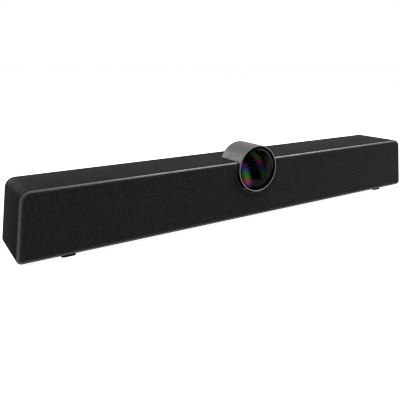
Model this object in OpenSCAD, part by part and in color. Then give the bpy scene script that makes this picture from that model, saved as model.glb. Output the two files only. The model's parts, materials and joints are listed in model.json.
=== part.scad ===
// A video bar for meeting rooms: a long housing with a perforated front and a camera barrel in its top edge.
// The bar runs along X, its front looks towards -Y and it stands on the plane z = 0.

/* [Body] */
// Length of the body along its base, from corner to corner
body_l = 600; // [586:1:660]
// Height of the body without its feet
body_h = 73; // [71:0.5:80]
// Depth of the body, from its front face to its back
body_d = 73; // [71:0.5:82]
// How far each end leans in at the top
end_lean = 6; // [0:0.5:9]
// Radius of the upper corners at the ends
top_r = 11; // [8:0.5:14]
// Radius of the lower corners at the ends
bottom_r = 6; // [5.5:0.5:8]
// Wall of the housing
wall = 2.5; // [2:0.1:3]
// Width of the slanted edge round the front
rim_cut = 1.4; // [0.6:0.1:1.8]
// Depth of the rear cover's edge that shows behind the housing
rear_edge = 4; // [3.5:0.1:5]
// Width of the slanted edge round the back
rear_cut = 2; // [0.6:0.1:2.6]

/* [Camera barrel] */
// Radius of the barrel
barrel_r = 30; // [28:0.5:31]
// How far the barrel's axis lies below the top face
barrel_drop = 11; // [9:0.5:13]
// Length of the barrel behind the housing's front face
barrel_back = 38.5; // [37:0.5:42]
// How far the ring stands proud of the front face
ring_proud = 3.5; // [3:0.1:5]
// Length of the ring along the barrel's axis
ring_l = 2; // [1.5:0.1:2.5]
// Wall of the barrel and width of the ring
barrel_wall = 1.8; // [1.5:0.1:2.2]
// Gap round the barrel in the housing's top
notch_gap = 0.8; // [0.5:0.1:1.2]
// Gap round the barrel in the grille and the front edge
front_gap = 2.5; // [1.5:0.1:3]
// How far the glass lies behind the ring's front
glass_recess = 1; // [0.5:0.1:1.4]
// Thickness of the glass
glass_t = 1.8; // [1.2:0.1:2.2]

/* [Front] */
// How far the grille lies behind the front face
grille_recess = 0.6; // [0.3:0.1:1]
// Thickness of the grille
grille_t = 1; // [0.6:0.1:1.2]
// Gap round the grille
grille_gap = 0.4; // [0.2:0.1:0.6]
// Depth at which the baffle plate starts
baffle_at = 5; // [4.8:0.1:5.6]
// Thickness of the baffle plate
baffle_t = 2.5; // [2:0.1:3]

/* [Speakers] */
// Distance from the end of the body to the axis of a driver
speaker_inset = 105; // [100:1:108]
// Outer radius of a driver
driver_r = 28; // [26:0.5:29]
// Length of a speaker box
box_l = 120; // [100:1:122]
// Wall of a speaker box
box_wall = 2; // [1.6:0.1:2.6]
// Travel of a cone each way
cone_travel = 2; // [1:0.1:2.5]

/* [Electronics] */
// Length of the main board
board_l = 190; // [180:1:194]
// Thickness of the boards
board_t = 1.6; // [1.2:0.1:2]
// Height of the main board above the floor of the housing
board_stand = 4; // [3.5:0.1:4.5]
// Length of the bay round the sockets
bay_l = 160; // [150:1:166]
// Height of the bay round the sockets
bay_h = 19; // [18:0.5:21]
// Depth of the bay round the sockets
bay_d = 9; // [8:0.5:10]
// Travel of a push button
button_travel = 0.6; // [0.4:0.1:0.8]

/* [Stand and fastening] */
// Height of the feet
foot_h = 2.5; // [2:0.1:4]
// Width of a foot
foot_w = 15; // [12:0.5:20]
// Depth of a foot
foot_d = 60; // [50:1:62]
// Distance between the two bracket inserts
bracket_spacing = 200; // [196:1:204]
// Radius of the bracket inserts' thread core
bracket_core_r = 1.65; // [1.2:0.05:1.9]
// Radius of the stand insert's thread core
stand_core_r = 2.6; // [2:0.05:3]

/* [Hidden] */
$fn = 96;
overrun = 1;
clearance = 0.3;
slip = 0.05;
// The straight sides lie this little inside the arcs beside them, so that each pair crosses cleanly
bite = 0.003;
front_y = ring_proud - (body_d + ring_proud) / 2;
inner_bottom = wall;
inner_top = body_h - wall;

// Colours
black = "#2a2a2b";
deep_black = "#161617";
barrel_grey = "#6f6d6f";
bright = "#b9b7b8";
steel = "#8d8f92";
copper = "#9a5a32";
brass = "#b8964a";
board_green = "#1d4a33";
ribbon_tan = "#a8793a";

// Outline of the body
lean = atan(end_lean / body_h);
low_x = body_l / 2 - bottom_r * (1 + sin(lean)) / cos(lean);
high_x = body_l / 2 - (top_r + (body_h - top_r) * sin(lean)) / cos(lean);

// Barrel and what is in it
barrel_z = body_h - barrel_drop;
ring_front = -ring_proud;
barrel_front = ring_front + ring_l;
bore_r = barrel_r - barrel_wall;
glass_front = ring_front + glass_recess;
glass_back = glass_front + glass_t;
hood_flange_t = 1.4;
hood_wall = 1;
hood_step = 3;
hood_d = 13;
cap_t = 2.5;
cap_recess = 0.5;
cap_back = barrel_back - cap_recess;
cap_front = cap_back - cap_t;
cap_post_l = 7;
cap_post_r = 2.2;
sensor_board_back = cap_front - cap_post_l;
sensor_board_w = 34;
sensor_board_front = sensor_board_back - board_t;
sensor_post_at = 13;
sensor_w = 12;
sensor_h = 9;
sensor_t = 1;
holder_w = 22;
holder_l = 8;
holder_front = sensor_board_front - holder_l;
holder_pocket = 3;
lens_r = 8;
lens_rim_r = 9.6;
lens_rim_l = 2.5;
lens_tube_front = 5;
lens_tube_back = sensor_board_front - holder_pocket;
front_lens_r = 7;
front_lens_ball_r = 10;
front_lens_seat = 1.2;
slot_w = 14;
slot_l = 3;
ribbon_w = 12;
ribbon_t = 0.4;

// Cradle under the barrel
cradle_front = baffle_at + baffle_t + clearance;
cradle_l = 17;
cradle_back = cradle_front + cradle_l;
cradle_w = 68;
cradle_shoulder = 12;
cradle_top = barrel_z - cradle_shoulder;
cradle_window_w = 34;
cradle_window_h = 12;
cradle_foot_in = 7;
cradle_foot_x = cradle_w / 2 - cradle_foot_in;

// Front
grille_back = grille_recess + grille_t;
cloth_gap = 0.2;
cloth_t = 0.4;
cloth_back = grille_back + cloth_gap + cloth_t;
baffle_rim = 2;
baffle_back = baffle_at + baffle_t;

// Screws and the columns that take them
column_r = 3.5;
column_web = 4;
column_off = 5;
column_low = inner_bottom + column_off;
column_high = inner_top - column_off;
column_front = baffle_back + slip;
column_inset = 25;
column_gap = 20;
speaker_x = body_l / 2 - speaker_inset;
end_column_x = body_l / 2 - column_inset;
mid_column_x = speaker_x - box_l / 2 - column_gap;
pilot_r = 1.25;
pilot_l = 10;
screw_r = 1.2;
screw_l = 9;
screw_head_r = 2.3;
screw_head_h = 1.8;
screw_hole_r = 1.5;
counterbore_r = 2.9;
counterbore_d = 4;

// Rear cover
cover_plate_t = 2.5;
cover_inner = body_d - cover_plate_t;
housing_back = body_d - rear_edge;
spigot_l = 4;
spigot_t = 1.6;
spigot_front = housing_back - spigot_l;
column_back = spigot_front - clearance;
bay_wall = 2;
bay_floor_back = body_d - bay_d;
bay_floor_front = bay_floor_back - bay_wall;

// Main board
board_low = inner_bottom + board_stand;
board_top = board_low + board_t;
board_gap = 0.5;
board_back = bay_floor_front - board_gap;
board_d = 31;
board_front = board_back - board_d;
board_post_r = 3;
board_hole_in = 6;
board_post_x = board_l / 2 - board_hole_in;
board_screw_r = 1;
board_pilot_r = 1.1;
board_hole_r = 1.3;
board_screw_head_r = 2.2;
board_screw_head_h = 1.2;
bay_low = board_low - bay_wall / 4;
processor_w = 16;
processor_t = 2;
processor_x = -36;
sink_w = 34;
sink_d = 17;
sink_in = 10;
sink_y = board_front + sink_in;
sink_base = 3;
sink_h = 12;
sink_fins = 8;
fin_t = 1.2;
shield_w = 24;
shield_d = 18;
shield_h = 3;
shield_x = 62;

// Sockets, all on the main board and flush with the floor of the bay
socket_face = bay_floor_back + clearance / 2;
window_gap = 0.3;
power_x = -30;
power_w = 9;
power_h = 11;
power_l = 14;
power_bore_r = 3.15;
power_pin_r = 1.2;
power_depth = 9.5;
power_pin_up = 6.5;
power_z = board_top + power_pin_up;
usb_x = -6;
usb_w = 9.6;
usb_h = 3.9;
usb_l = 8;
usb_wall = 0.4;
usb_tongue_w = 6.7;
usb_tongue_h = 0.7;
video_x = 20;
video_w = 15;
video_h = 6;
video_l = 12;
video_wall = 0.5;
video_tongue_w = 11.2;
video_tongue_h = 1.4;
tongue_setback = 0.8;
audio_x = 44;
audio_w = 8;
audio_h = 7;
audio_l = 13;
audio_bore_r = 1.8;
audio_bore_l = 12;

// Push buttons
button_r = 3.5;
button_gap = 0.3;
button_flange_r = 4.6;
button_flange_t = 1;
button_proud = 1.5;
button_stem_r = 1.2;
button_stem_l = 2.4;
button_up = 6;
button_z = board_top + button_up;
button_xs = [-68, -54];
button_flange_back = bay_floor_front - clearance;
button_flange_front = button_flange_back - button_flange_t;
switch_w = 6;
switch_l = 7;
switch_h = 9.4;
switch_gap = button_travel + clearance;
switch_back = button_flange_front - switch_gap;
switch_bore_r = button_stem_r + clearance;
switch_bore_d = button_stem_l;

// Microphones
mic_board_l = 62;
mic_board_h = 7;
mic_board_t = 1;
mic_board_top = inner_top - clearance - baffle_rim - clearance;
mic_board_z = mic_board_top - mic_board_h / 2;
mic_column_gap = 10;
mic_x = mid_column_x - mic_column_gap - mic_board_l / 2;
mic_pitch = 24;
mic_w = 3.8;
mic_h = 3;
mic_t = 1.1;
mic_ribbon_x = 70;
mic_ribbon_w = 6;
mic_ribbon_slot = 2;

// Speaker boxes
box_front = baffle_back + clearance;
box_back = column_back;
box_low = inner_bottom + clearance;
box_high = inner_top - clearance;
box_face_t = 4.2;
speaker_z = body_h / 2;
flange_t = 1.5;
flange_front = box_front + clearance;
flange_seat = flange_front + flange_t;
driver_open_gap = 1;
driver_open_r = driver_r + driver_open_gap;
box_rim_gap = 0.3;

// Parts of a driver, measured inwards from the flange's front
flange_w = 4;
surround_out = driver_r - flange_w;
surround_roll = 2;
surround_t = 0.5;
cone_out = surround_out - 2 * surround_roll;
cone_edge = 1.3;
cone_neck = 12;
cone_t = 0.6;
coil_in = 9.6;
coil_out = 10.5;
coil_end = 24;
basket_t = 1.2;
basket_end = 17.5;
basket_neck_r = 14;
spider_at = 12.4;
spider_t = 0.5;
spider_out = 15;
spider_ledge_in = 14.4;
spider_ledge_out = 15.8;
spider_ledge_t = 0.8;
plate_in = 10.9;
plate_out = 16;
plate_t = 3;
ferrite_r = 20;
coil_free = 2.5;
ferrite_t = coil_end + cone_travel + coil_free - basket_end - plate_t;
yoke_t = 3;
yoke_r = 17;
pole_r = 9.2;
dust_ball_r = 14;
dust_t = 0.5;
basket_windows = 4;
basket_window_w = 9;
driver_screw_count = 4;
driver_screw_at = driver_r - flange_w / 2;
driver_screw_r = 0.9;
driver_screw_hole_r = 1.1;
driver_screw_l = 3.6;
driver_screw_head_r = 1.7;
driver_screw_head_h = 1.1;

// Speaker leads, as round numbers along the right-hand lead
lead_r = 0.9;
lead_hole_r = lead_r + clearance;
lead_sides = 8;
lead_route = [
    [174, 4, 40], [170, 5, 39.5], [162, 8, 38], [152, 14, 34], [144, 18, 28.5], [139, 19, 26],
    [133, 19, 26], [127, 19, 25.5], [118, 19, 24], [108, 18, 21.5], [99, 15, 18.5], [92.5, 13, 16],
    [89.5, 12.5, 14], [89, 12.5, 12.5], [89, 12.5, 10.9]
];
lead_hole = [134, 19, 26];

// Inserts and feet
bracket_x = bracket_spacing / 2;
bracket_drop = 23;
bracket_z = body_h - bracket_drop;
bracket_insert_r = 3;
bracket_insert_l = 9;
bracket_boss_r = 5;
bracket_boss_l = 13;
bracket_boss_front = body_d - bracket_boss_l;
insert_recess = 0.2;
stand_y = cradle_front + cradle_l / 2;
stand_insert_r = 4.5;
stand_insert_l = 9;
stand_boss_r = 7;
stand_boss_h = 11;
foot_front = 2;
foot_r = 3;
foot_inset = 46;
foot_x = body_l / 2 - foot_inset - foot_w / 2;

// Places: y is the depth behind the front face, and z the height above the underside
module in_body() {
    translate([0, front_y, foot_h]) children();
}

module rod(r, from, to) {
    translate([0, to, 0]) rotate([90, 0, 0]) cylinder(r = r, h = to - from);
}

// A turned shape about the Y axis, from points of radius and depth
module turned(points) {
    rotate([-90, 0, 0]) rotate_extrude() polygon(points);
}

module block(x_size, y_from, y_to, z_from, z_to) {
    translate([-x_size / 2, y_from, z_from]) cube([x_size, y_to - y_from, z_to - z_from]);
}

module at_barrel() {
    translate([0, 0, barrel_z]) children();
}

module at_speaker(side) {
    translate([side * speaker_x, flange_front, speaker_z]) children();
}

// The body's outline in X and Z, drawn in by an inset
module body_outline(inset) {
    low_r = bottom_r - inset;
    high_r = top_r - inset;
    side = [cos(lean), sin(lean)];
    right = [
        [low_x, inset], [low_x, bottom_r] + (low_r - bite) * side,
        [high_x, body_h - top_r] + (high_r - bite) * side, [high_x, body_h - inset]
    ];
    left = [for (i = [3:-1:0]) [-right[i].x, right[i].y]];
    polygon(concat(right, left));
    for (x = [-1, 1]) {
        translate([x * low_x, bottom_r]) circle(r = low_r);
        translate([x * high_x, body_h - top_r]) circle(r = high_r);
    }
}

module slab(from, to, inset) {
    translate([0, to, 0]) rotate([90, 0, 0]) linear_extrude(to - from) body_outline(inset);
}

module ring_slab(from, to, outer, inner) {
    difference() {
        slab(from, to, outer);
        slab(from - overrun, to + overrun, inner);
    }
}

// Cutters for a slanted edge round the outline at the front face, in the plane of the outline
module straight_edge_cut(start, end, cut) {
    run = end - start;
    reach = cut + 2 * bite + overrun;
    translate(start) rotate(atan2(run.y, run.x)) translate([-overrun, 0, 0]) rotate([90, 0, 90])
        linear_extrude(norm(run) + 2 * overrun)
            polygon([[reach, overrun], [-overrun, overrun], [-overrun, -reach]]);
}

module corner_edge_cut(centre, r, from_angle, sweep, cut) {
    translate(centre) rotate(from_angle) rotate_extrude(angle = sweep)
        polygon([[r - cut - overrun, overrun], [r + overrun, overrun], [r + overrun, -cut - overrun]]);
}

module front_edge_cut(cut) {
    side = [cos(lean), sin(lean)];
    low = [low_x, bottom_r];
    high = [high_x, body_h - top_r];
    rotate([90, 0, 0]) {
        for (flip = [0, 1]) mirror([flip, 0, 0]) {
            straight_edge_cut(low + bottom_r * side, high + top_r * side, cut);
            corner_edge_cut(low, bottom_r, -90, 90 + lean, cut);
            corner_edge_cut(high, top_r, lean, 90 - lean, cut);
        }
        straight_edge_cut([-low_x, 0], [low_x, 0], cut);
        straight_edge_cut([high_x, body_h], [-high_x, body_h], cut);
    }
}

// Columns along the depth that take the screws of the baffle and the rear cover
module column_places() {
    for (x = [-end_column_x, -mid_column_x, mid_column_x, end_column_x])
        for (z = [column_low, column_high]) translate([x, 0, z]) children();
}

module housing() {
    color(black) in_body() difference() {
        union() {
            difference() {
                slab(0, housing_back, 0);
                slab(-overrun, housing_back + overrun, wall);
            }
            for (x = [-end_column_x, -mid_column_x, mid_column_x, end_column_x]) {
                translate([x, 0, column_low]) rod(column_r, column_front, column_back);
                translate([x, 0, column_high]) rod(column_r, column_front, column_back);
                translate([x, 0, 0]) block(column_web, column_front, column_back, wall / 2, column_low);
                translate([x, 0, 0])
                    block(column_web, column_front, column_back, column_high, body_h - wall / 2);
            }
            for (x = [-board_post_x, board_post_x])
                for (y = [board_front + board_hole_in, board_back - board_hole_in])
                    translate([x, y, wall / 2]) cylinder(r = board_post_r, h = board_low - wall / 2);
            translate([0, stand_y, wall / 2]) cylinder(r = stand_boss_r, h = stand_boss_h - wall / 2);
        }
        at_barrel() rod(barrel_r + notch_gap, -overrun, barrel_back + notch_gap);
        at_barrel() rod(barrel_r + front_gap, -overrun, baffle_at);
        front_edge_cut(rim_cut);
        column_places() {
            rod(pilot_r, column_front - overrun, column_front + pilot_l);
            rod(pilot_r, column_back - pilot_l, column_back + overrun);
        }
        for (x = [-board_post_x, board_post_x])
            for (y = [board_front + board_hole_in, board_back - board_hole_in])
                translate([x, y, wall]) cylinder(r = board_pilot_r, h = board_low);
        for (x = [-cradle_foot_x, cradle_foot_x])
            translate([x, stand_y, -overrun]) cylinder(r = board_hole_r, h = wall + 2 * overrun);
        translate([0, stand_y, -overrun])
            cylinder(r = stand_insert_r + slip, h = stand_insert_l + insert_recess + overrun);
    }
}

module socket_window(x, w, z_from, z_to) {
    translate([x, 0, 0]) block(w + 2 * window_gap, bay_floor_front - overrun, bay_floor_back + overrun,
                               z_from - window_gap, z_to + window_gap);
}

module rear_cover() {
    color(deep_black) in_body() difference() {
        union() {
            difference() {
                slab(housing_back + slip, body_d, 0);
                slab(housing_back - overrun, cover_inner, wall);
            }
            ring_slab(spigot_front, cover_inner + overrun / 2, wall + clearance, wall + clearance + spigot_t);
            block(bay_l + 2 * bay_wall, bay_floor_front, cover_inner + overrun / 2, bay_low - bay_wall,
                  bay_low + bay_h + bay_wall);
            column_places() rod(column_r, spigot_front, cover_inner + overrun / 2);
            for (x = [-bracket_x, bracket_x]) translate([x, 0, bracket_z])
                rod(bracket_boss_r, bracket_boss_front, cover_inner + overrun / 2);
        }
        translate([0, body_d, 0]) mirror([0, 1, 0]) front_edge_cut(rear_cut);
        block(bay_l, bay_floor_back, body_d + overrun, bay_low, bay_low + bay_h);
        column_places() {
            rod(screw_hole_r, spigot_front - overrun, body_d);
            rod(counterbore_r, body_d - counterbore_d, body_d + overrun);
        }
        for (x = [-bracket_x, bracket_x]) translate([x, 0, bracket_z])
            rod(bracket_insert_r + slip, body_d - bracket_insert_l - insert_recess, body_d + overrun);
        socket_window(power_x, power_w, board_top, board_top + power_h);
        socket_window(usb_x, usb_w, board_top, board_top + usb_h);
        socket_window(video_x, video_w, board_top, board_top + video_h);
        socket_window(audio_x, audio_w, board_top, board_top + audio_h);
        for (x = button_xs) translate([x, 0, button_z])
            rod(button_r + button_gap, bay_floor_front - overrun, bay_floor_back + overrun);
    }
}

module front_baffle() {
    color(deep_black) in_body() difference() {
        union() {
            slab(baffle_at, baffle_back, wall + clearance);
            ring_slab(cloth_back + clearance, baffle_at + overrun / 2, wall + clearance,
                      wall + clearance + baffle_rim);
        }
        at_barrel() rod(barrel_r + notch_gap, -overrun, baffle_back + overrun);
        for (side = [-1, 1]) translate([side * speaker_x, 0, speaker_z])
            rod(driver_open_r, -overrun, baffle_back + overrun);
        column_places() rod(screw_hole_r, baffle_at - overrun, baffle_back + overrun);
        for (side = [-1, 1]) translate([side * mic_ribbon_x, 0, mic_board_z])
            block(mic_ribbon_w + 2 * clearance, baffle_at - overrun, baffle_back + overrun,
                  -mic_ribbon_slot / 2, mic_ribbon_slot / 2);
    }
}

module grille() {
    color("#1c1c1d") in_body() difference() {
        slab(grille_recess, grille_back, wall + grille_gap);
        at_barrel() rod(barrel_r + front_gap, -overrun, grille_back + overrun);
    }
}

module grille_cloth() {
    color("#0c0c0c") in_body() difference() {
        slab(grille_back + cloth_gap, cloth_back, wall + clearance);
        at_barrel() rod(barrel_r + front_gap, -overrun, cloth_back + overrun);
    }
}

module camera_barrel() {
    color(barrel_grey) in_body() at_barrel() difference() {
        rod(barrel_r, barrel_front, barrel_back);
        rod(bore_r, barrel_front - overrun, barrel_back + overrun);
        block(slot_w, sensor_board_back + slip, sensor_board_back + slot_l, -barrel_r - overrun, -bore_r / 2);
    }
}

module barrel_cap() {
    color(barrel_grey) in_body() at_barrel() {
        rod(bore_r - slip, cap_front, cap_back);
        for (x = [-sensor_post_at, sensor_post_at]) for (z = [-sensor_post_at, sensor_post_at])
            translate([x, 0, z]) rod(cap_post_r, sensor_board_back, cap_front + overrun / 2);
    }
}

module lens_ring() {
    edge = barrel_wall / 4;
    color(bright) in_body() at_barrel() turned([
        [bore_r, ring_front + edge], [bore_r + edge, ring_front], [barrel_r - edge, ring_front],
        [barrel_r, ring_front + edge], [barrel_r, barrel_front - slip], [bore_r, barrel_front - slip]
    ]);
}

module lens_window() {
    color("#0a0a0c", 0.6) in_body() at_barrel() rod(bore_r - slip, glass_front, glass_back);
}

module lens_hood() {
    throat = lens_rim_r + clearance;
    start = glass_back + slip;
    wide = bore_r - hood_step;
    color(deep_black) in_body() at_barrel() turned([
        [bore_r - slip, start], [bore_r - slip, start + hood_flange_t],
        [wide + hood_wall, start + hood_flange_t],
        [throat + hood_wall, hood_d], [throat, hood_d], [throat, hood_d - hood_wall],
        [wide, start]
    ]);
}

module lens_tube() {
    color(deep_black) in_body() at_barrel() difference() {
        union() {
            rod(lens_rim_r, lens_tube_front, lens_tube_front + lens_rim_l);
            rod(lens_r, lens_tube_front, lens_tube_back);
        }
        rod(front_lens_r, lens_tube_front - overrun, lens_tube_front + front_lens_seat);
    }
}

module front_lens() {
    back = lens_tube_front + front_lens_seat;
    color("#223a66") in_body() at_barrel() intersection() {
        translate([0, back + sqrt(pow(front_lens_ball_r, 2) - pow(front_lens_r, 2)) - front_lens_seat, 0])
            sphere(r = front_lens_ball_r);
        rod(front_lens_r - slip, back - front_lens_ball_r, back - slip);
    }
}

module lens_holder() {
    color(black) in_body() at_barrel() difference() {
        block(holder_w, holder_front, sensor_board_front, -holder_w / 2, holder_w / 2);
        rod(lens_r + slip, holder_front - overrun, sensor_board_front + overrun);
        block(sensor_w + 2 * clearance, sensor_board_front - holder_pocket, sensor_board_front + overrun,
              -sensor_h / 2 - clearance, sensor_h / 2 + clearance);
    }
}

module sensor_board() {
    color(board_green) in_body() at_barrel()
        block(sensor_board_w, sensor_board_front + slip, sensor_board_back - slip,
              -sensor_board_w / 2, sensor_board_w / 2);
}

module image_sensor() {
    color("#30343a") in_body() at_barrel()
        block(sensor_w, sensor_board_front - sensor_t, sensor_board_front, -sensor_h / 2, sensor_h / 2);
}

module camera_cradle() {
    color(steel) in_body() difference() {
        block(cradle_w, cradle_front, cradle_back, inner_bottom + slip, cradle_top);
        at_barrel() rod(barrel_r + slip, cradle_front - overrun, cradle_back + overrun);
        block(cradle_window_w, cradle_front - overrun, cradle_back + overrun, inner_bottom - overrun,
              inner_bottom + cradle_window_h);
        for (x = [-cradle_foot_x, cradle_foot_x])
            translate([x, stand_y, 0]) cylinder(r = board_pilot_r, h = inner_bottom + pilot_l);
    }
}

// A flat cable across X, along points of depth and height
module ribbon(points, w) {
    rotate([90, 0, 90]) translate([0, 0, -w / 2]) linear_extrude(w) {
        for (i = [0:len(points) - 2]) {
            run = points[i + 1] - points[i];
            translate(points[i]) rotate(atan2(run.y, run.x)) translate([0, -ribbon_t / 2])
                square([norm(run), ribbon_t]);
        }
        for (i = [1:len(points) - 2]) translate(points[i]) circle(r = ribbon_t / 2 + bite);
    }
}

module camera_ribbon() {
    start = barrel_z - sensor_board_w / 2;
    drop = sensor_board_back + slot_l / 2;
    low = board_top + ribbon_t / 2 + slip;
    points = [
        [sensor_board_back + ribbon_t, start + slot_l], [sensor_board_back + ribbon_t, start],
        [drop, start - slot_l], [drop, low + 2 * slot_l], [drop + slot_l, low], [drop + 3 * slot_l, low]
    ];
    color(ribbon_tan) in_body() ribbon(points, ribbon_w);
}

module main_board() {
    color(board_green) in_body() difference() {
        block(board_l, board_front, board_back, board_low, board_top);
        for (x = [-board_post_x, board_post_x])
            for (y = [board_front + board_hole_in, board_back - board_hole_in])
                translate([x, y, board_low - overrun]) cylinder(r = board_hole_r, h = board_t + 2 * overrun);
    }
}

module processor() {
    color("#26282b") in_body() translate([processor_x, sink_y, board_top])
        block(processor_w, -processor_w / 2, processor_w / 2, 0, processor_t);
}

module heat_sink() {
    pitch = (sink_w - fin_t) / (sink_fins - 1);
    color(steel) in_body() translate([processor_x, sink_y, board_top + processor_t]) {
        block(sink_w, -sink_d / 2, sink_d / 2, 0, sink_base);
        for (i = [0:sink_fins - 1]) translate([-sink_w / 2 + fin_t / 2 + i * pitch, 0, 0])
            block(fin_t, -sink_d / 2, sink_d / 2, sink_base / 2, sink_h);
    }
}

module wireless_shield() {
    color(steel) in_body() translate([shield_x, (board_front + board_back) / 2, board_top])
        block(shield_w, -shield_d / 2, shield_d / 2, 0, shield_h);
}

module power_socket() {
    color(deep_black) in_body() translate([power_x, 0, 0]) {
        difference() {
            block(power_w, socket_face - power_l, socket_face, board_top, board_top + power_h);
            translate([0, 0, power_z]) rod(power_bore_r, socket_face - power_depth, socket_face + overrun);
        }
        translate([0, 0, power_z])
            rod(power_pin_r, socket_face - power_depth - overrun, socket_face - overrun);
    }
}

// A rectangular socket with a thin shell and a tongue
module shell_socket(w, h, l, shell, tongue_w, tongue_h) {
    difference() {
        block(w, socket_face - l, socket_face, board_top, board_top + h);
        block(w - 2 * shell, socket_face - l + shell, socket_face + overrun, board_top + shell,
              board_top + h - shell);
    }
    block(tongue_w, socket_face - l + shell / 2, socket_face - tongue_setback,
          board_top + (h - tongue_h) / 2, board_top + (h + tongue_h) / 2);
}

module usb_socket() {
    color(steel) in_body() translate([usb_x, 0, 0])
        shell_socket(usb_w, usb_h, usb_l, usb_wall, usb_tongue_w, usb_tongue_h);
}

module video_socket() {
    color(steel) in_body() translate([video_x, 0, 0])
        shell_socket(video_w, video_h, video_l, video_wall, video_tongue_w, video_tongue_h);
}

module audio_socket() {
    color(deep_black) in_body() translate([audio_x, 0, 0]) difference() {
        block(audio_w, socket_face - audio_l, socket_face, board_top, board_top + audio_h);
        translate([0, 0, board_top + audio_h / 2])
            rod(audio_bore_r, socket_face - audio_bore_l, socket_face + overrun);
    }
}

module push_button(x) {
    in_body() translate([x, 0, button_z]) {
        rod(button_r, button_flange_front, bay_floor_back + button_proud);
        rod(button_flange_r, button_flange_front, button_flange_back);
        rod(button_stem_r, button_flange_front - button_stem_l, button_flange_front + overrun / 2);
    }
}

module power_button() {
    color(black) push_button(button_xs[0]);
}

module pairing_button() {
    color(black) push_button(button_xs[1]);
}

module button_switches() {
    color(steel) in_body() for (x = button_xs) translate([x, 0, 0]) difference() {
        block(switch_w, switch_back - switch_l, switch_back, board_top, board_top + switch_h);
        translate([0, 0, button_z]) rod(switch_bore_r, switch_back - switch_bore_d, switch_back + overrun);
    }
}

module microphone_board(side) {
    color(board_green) in_body() translate([side * mic_x, 0, mic_board_z])
        block(mic_board_l, baffle_at - mic_board_t, baffle_at, -mic_board_h / 2, mic_board_h / 2);
}

module microphone_board_left() {
    microphone_board(-1);
}

module microphone_board_right() {
    microphone_board(1);
}

module microphones() {
    front = baffle_at - mic_board_t - mic_t;
    color(bright) in_body() for (side = [-1, 1]) for (i = [-1:1])
        translate([side * (mic_x + i * mic_pitch), 0, mic_board_z])
            block(mic_w, front, front + mic_t, -mic_h / 2, mic_h / 2);
}

module microphone_ribbon(side) {
    bend = mic_ribbon_w / 2;
    down = baffle_back + 2 * bend;
    low = board_top + ribbon_t / 2 + slip;
    points = [
        [baffle_at + slip, mic_board_z], [down - bend, mic_board_z], [down, mic_board_z - bend],
        [down, low + 2 * bend], [down + 2 * bend, low], [board_front + 2 * bend, low]
    ];
    color(ribbon_tan) in_body() translate([side * mic_ribbon_x, 0, 0]) ribbon(points, mic_ribbon_w);
}

module microphone_ribbon_left() {
    microphone_ribbon(-1);
}

module microphone_ribbon_right() {
    microphone_ribbon(1);
}

module driver_screw_places() {
    for (i = [0:driver_screw_count - 1]) rotate([0, (i + 1 / 2) * 360 / driver_screw_count, 0])
        translate([driver_screw_at, 0, 0]) children();
}

module speaker_basket(side) {
    ledge = spider_at + 2 * spider_t + slip;
    color(black) in_body() at_speaker(side) difference() {
        union() {
            turned([
                [surround_out, 0], [driver_r, 0], [driver_r, flange_t], [surround_out, flange_t],
                [basket_neck_r + basket_t, basket_end - basket_t], [plate_out, basket_end - basket_t],
                [plate_out, basket_end], [plate_in, basket_end], [plate_in, basket_end - basket_t],
                [basket_neck_r, basket_end - basket_t], [surround_out - basket_t, flange_t],
                [surround_out, flange_t - clearance / 2]
            ]);
            turned([
                [spider_ledge_in, ledge], [spider_ledge_out, ledge],
                [spider_ledge_out, ledge + spider_ledge_t], [spider_ledge_in, ledge + spider_ledge_t]
            ]);
        }
        driver_screw_places() rod(driver_screw_hole_r, -overrun, flange_t + overrun);
        for (i = [0:basket_windows - 1]) rotate([0, i * 360 / basket_windows, 0])
            translate([driver_r / 2, 0, 0]) block(driver_r, flange_t + 2 * basket_t, spider_at - basket_t,
                                                  -basket_window_w / 2, basket_window_w / 2);
    }
}

module speaker_basket_left() {
    speaker_basket(-1);
}

module speaker_basket_right() {
    speaker_basket(1);
}

module speaker_magnet(side) {
    top = basket_end + slip;
    ferrite_top = top + plate_t;
    yoke_top = ferrite_top + ferrite_t;
    color(steel) in_body() at_speaker(side) turned([
        [0, top], [pole_r, top], [pole_r, yoke_top], [plate_in + basket_t, yoke_top],
        [plate_in + basket_t, ferrite_top], [plate_in, ferrite_top], [plate_in, top], [plate_out, top],
        [plate_out, ferrite_top], [ferrite_r, ferrite_top], [ferrite_r, yoke_top], [yoke_r, yoke_top],
        [yoke_r, yoke_top + yoke_t], [0, yoke_top + yoke_t]
    ]);
}

module speaker_magnet_left() {
    speaker_magnet(-1);
}

module speaker_magnet_right() {
    speaker_magnet(1);
}

module voice_coil(side) {
    color(copper) in_body() at_speaker(side) difference() {
        rod(coil_out, cone_neck, coil_end);
        rod(coil_in, cone_neck - overrun, coil_end + overrun);
    }
}

module voice_coil_left() {
    voice_coil(-1);
}

module voice_coil_right() {
    voice_coil(1);
}

module speaker_cone(side) {
    color("#202124") in_body() at_speaker(side) turned([
        [cone_out, cone_edge], [cone_out, cone_edge + cone_t], [coil_out, cone_neck], [coil_in, cone_neck],
        [coil_in, cone_neck - cone_t]
    ]);
}

module speaker_cone_left() {
    speaker_cone(-1);
}

module speaker_cone_right() {
    speaker_cone(1);
}

// A shallow dome glued into the cone's neck
module dust_cap(side) {
    rim = coil_in - slip;
    middle = cone_neck - cone_t - slip + sqrt(pow(dust_ball_r, 2) - pow(rim, 2));
    color("#18191b") in_body() at_speaker(side) intersection() {
        difference() {
            translate([0, middle, 0]) sphere(r = dust_ball_r);
            translate([0, middle, 0]) sphere(r = dust_ball_r - dust_t);
        }
        rod(rim, 0, cone_neck - cone_t - slip);
    }
}

module dust_cap_left() {
    dust_cap(-1);
}

module dust_cap_right() {
    dust_cap(1);
}

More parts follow.
